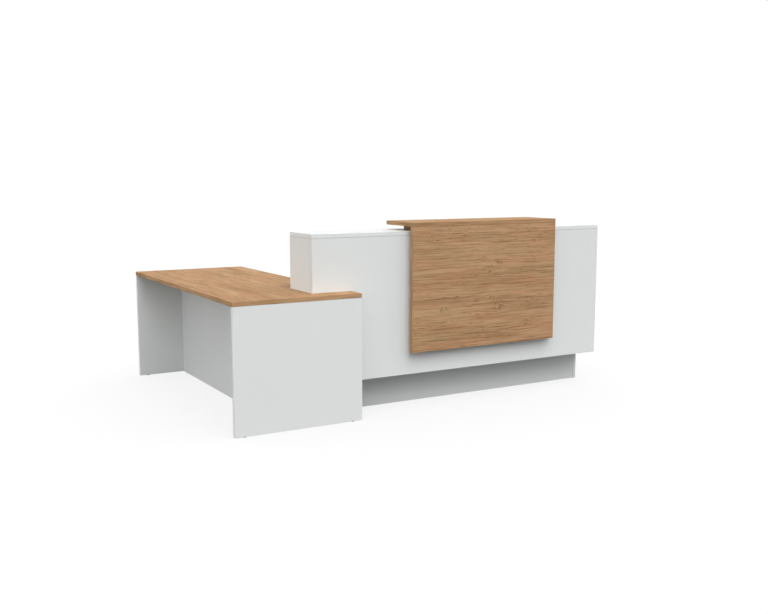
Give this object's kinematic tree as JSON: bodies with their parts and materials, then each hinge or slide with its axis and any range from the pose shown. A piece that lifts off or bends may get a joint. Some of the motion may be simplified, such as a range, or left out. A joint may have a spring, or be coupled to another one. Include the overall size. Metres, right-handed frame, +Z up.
{
  "type": "reception desk",
  "caption": "L-shaped reception desk: a low oak-topped return, a tall white counter on a recessed plinth, an oak panel and shelf standing off it, and a staff worktop behind.",
  "frame": {"origin": "centre of the desk's footprint box, on the floor under the levelling feet", "axes": "+X to the visitor's right along the counter, +Y from the visitor towards the staff side, +Z up"},
  "size_m": [2.69, 1.9, 1.144],
  "materials": {
    "white_board": "white melamine-faced board with a fine pearl texture",
    "oak_board": "oak-faced board with long fine grain and a satin face",
    "satin_aluminium": "satin turned aluminium",
    "zinc_steel": "bright zinc-plated steel",
    "black_plastic": "fine-textured black moulded plastic"
  },
  "bodies": {
    "desk": {"return_front_end_panel": "white_board", "return_back_end_panel": "white_board", "return_modesty_panel": "white_board", "return_filler_panel": "white_board", "counter_front_panel": "white_board", "counter_left_end_panel": "white_board", "counter_right_end_panel": "white_board", "counter_top": "white_board", "counter_divider_1": "white_board", "counter_divider_2": "white_board", "left_gable": "white_board", "mid_gable": "white_board", "right_gable": "white_board", "plinth_board": "white_board", "base_board_left": "white_board", "base_board_right": "white_board", "return_top": "oak_board", "staff_worktop": "oak_board", "accent_front_panel": "oak_board", "accent_shelf": "oak_board", "accent_riser_1": "oak_board", "accent_riser_2": "oak_board", "accent_riser_3": "oak_board", "standoff_lower_1": "satin_aluminium", "standoff_lower_2": "satin_aluminium", "standoff_lower_3": "satin_aluminium", "standoff_upper_1": "satin_aluminium", "standoff_upper_2": "satin_aluminium", "standoff_upper_3": "satin_aluminium", "bracket_return_front": "zinc_steel", "bracket_return_back": "zinc_steel", "bracket_modesty_front": "zinc_steel", "bracket_modesty_back": "zinc_steel", "bracket_left_gable_front": "zinc_steel", "bracket_left_gable_back": "zinc_steel", "bracket_mid_gable_front": "zinc_steel", "bracket_mid_gable_back": "zinc_steel", "bracket_right_gable_front": "zinc_steel", "bracket_right_gable_back": "zinc_steel", "jointing_plate_1": "zinc_steel", "jointing_plate_2": "zinc_steel", "port_liner_left": "black_plastic", "port_liner_right": "black_plastic"},
    "foot_return_front_left": {"foot_return_front_left": "black_plastic"},
    "foot_return_front_right": {"foot_return_front_right": "black_plastic"},
    "foot_return_back_left": {"foot_return_back_left": "black_plastic"},
    "foot_return_back_right": {"foot_return_back_right": "black_plastic"},
    "foot_modesty_front": {"foot_modesty_front": "black_plastic"},
    "foot_modesty_back": {"foot_modesty_back": "black_plastic"},
    "foot_left_gable_front": {"foot_left_gable_front": "black_plastic"},
    "foot_left_gable_back": {"foot_left_gable_back": "black_plastic"},
    "foot_mid_gable_front": {"foot_mid_gable_front": "black_plastic"},
    "foot_mid_gable_back": {"foot_mid_gable_back": "black_plastic"},
    "foot_right_gable_front": {"foot_right_gable_front": "black_plastic"},
    "foot_right_gable_back": {"foot_right_gable_back": "black_plastic"},
    "port_cap_left": {"port_cap_left": "black_plastic"},
    "port_cap_right": {"port_cap_right": "black_plastic"}
  },
  "joints": [
    {"name": "foot_return_front_left_travel", "type": "slide", "parent": "desk", "child": "foot_return_front_left", "axis": [0, 0, -1], "range_m": [0, 0.01]},
    {"name": "foot_return_front_right_travel", "type": "slide", "parent": "desk", "child": "foot_return_front_right", "axis": [0, 0, -1], "range_m": [0, 0.01]},
    {"name": "foot_return_back_left_travel", "type": "slide", "parent": "desk", "child": "foot_return_back_left", "axis": [0, 0, -1], "range_m": [0, 0.01]},
    {"name": "foot_return_back_right_travel", "type": "slide", "parent": "desk", "child": "foot_return_back_right", "axis": [0, 0, -1], "range_m": [0, 0.01]},
    {"name": "foot_modesty_front_travel", "type": "slide", "parent": "desk", "child": "foot_modesty_front", "axis": [0, 0, -1], "range_m": [0, 0.01]},
    {"name": "foot_modesty_back_travel", "type": "slide", "parent": "desk", "child": "foot_modesty_back", "axis": [0, 0, -1], "range_m": [0, 0.01]},
    {"name": "foot_left_gable_front_travel", "type": "slide", "parent": "desk", "child": "foot_left_gable_front", "axis": [0, 0, -1], "range_m": [0, 0.01]},
    {"name": "foot_left_gable_back_travel", "type": "slide", "parent": "desk", "child": "foot_left_gable_back", "axis": [0, 0, -1], "range_m": [0, 0.01]},
    {"name": "foot_mid_gable_front_travel", "type": "slide", "parent": "desk", "child": "foot_mid_gable_front", "axis": [0, 0, -1], "range_m": [0, 0.01]},
    {"name": "foot_mid_gable_back_travel", "type": "slide", "parent": "desk", "child": "foot_mid_gable_back", "axis": [0, 0, -1], "range_m": [0, 0.01]},
    {"name": "foot_right_gable_front_travel", "type": "slide", "parent": "desk", "child": "foot_right_gable_front", "axis": [0, 0, -1], "range_m": [0, 0.01]},
    {"name": "foot_right_gable_back_travel", "type": "slide", "parent": "desk", "child": "foot_right_gable_back", "axis": [0, 0, -1], "range_m": [0, 0.01]},
    {"name": "port_cap_left_turn", "type": "hinge", "parent": "desk", "child": "port_cap_left", "pos_m": [-0.04985, -0.465, 0.75], "axis": [0, 0, 1], "continuous": true},
    {"name": "port_cap_right_turn", "type": "hinge", "parent": "desk", "child": "port_cap_right", "pos_m": [0.85485, -0.465, 0.75], "axis": [0, 0, 1], "continuous": true}
  ]
}
